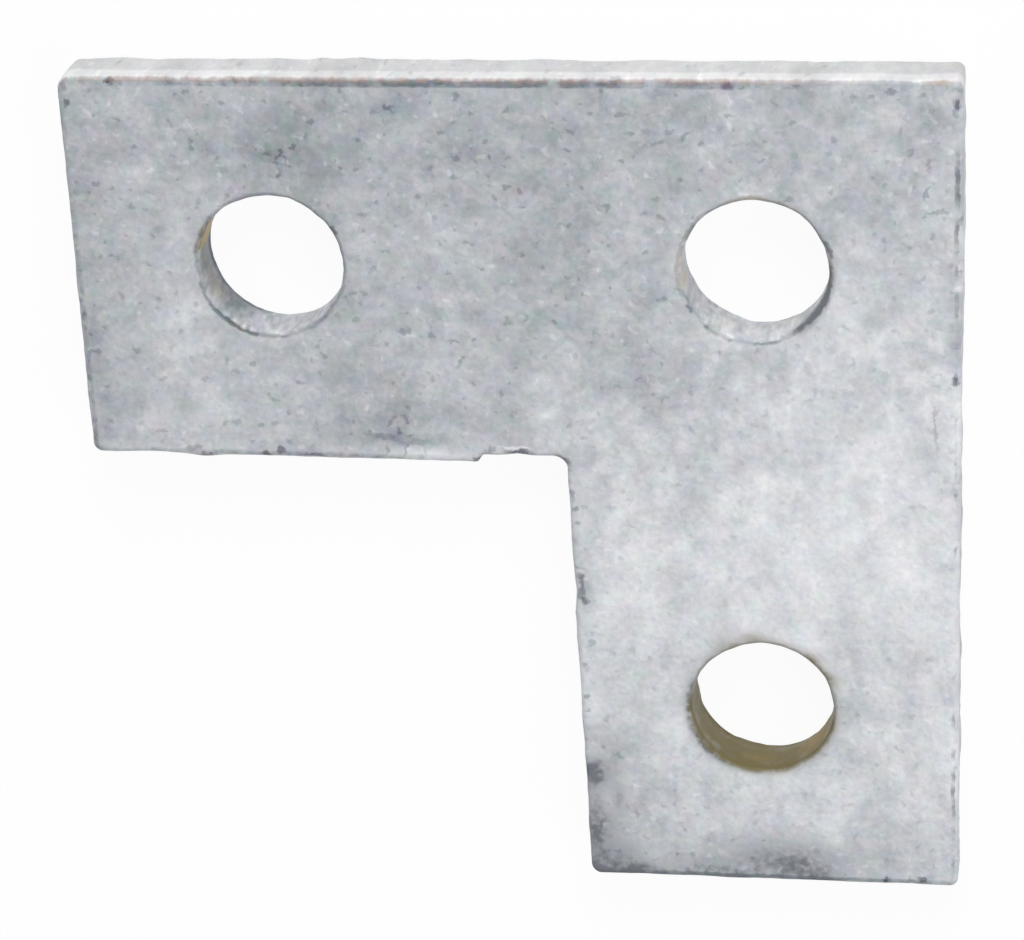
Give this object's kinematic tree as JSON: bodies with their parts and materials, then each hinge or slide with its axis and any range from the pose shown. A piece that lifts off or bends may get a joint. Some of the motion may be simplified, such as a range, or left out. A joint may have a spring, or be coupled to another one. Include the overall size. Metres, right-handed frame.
{
  "type": "corner brace bracket",
  "caption": "Flat L-shaped galvanised steel corner plate with a round bolt hole at the corner and one near the end of each arm.",
  "frame": {"origin": "axis of the corner hole, at half the plate's thickness", "axes": "+Z out of the front face, the arm along +X and the leg along +Y"},
  "size_m": [0.088, 0.088, 0.006],
  "materials": {
    "galvanised_steel": "hot-dip galvanised, dull mottled grey"
  },
  "bodies": {
    "root": {"bracket_plate": "galvanised_steel"}
  },
  "joints": []
}
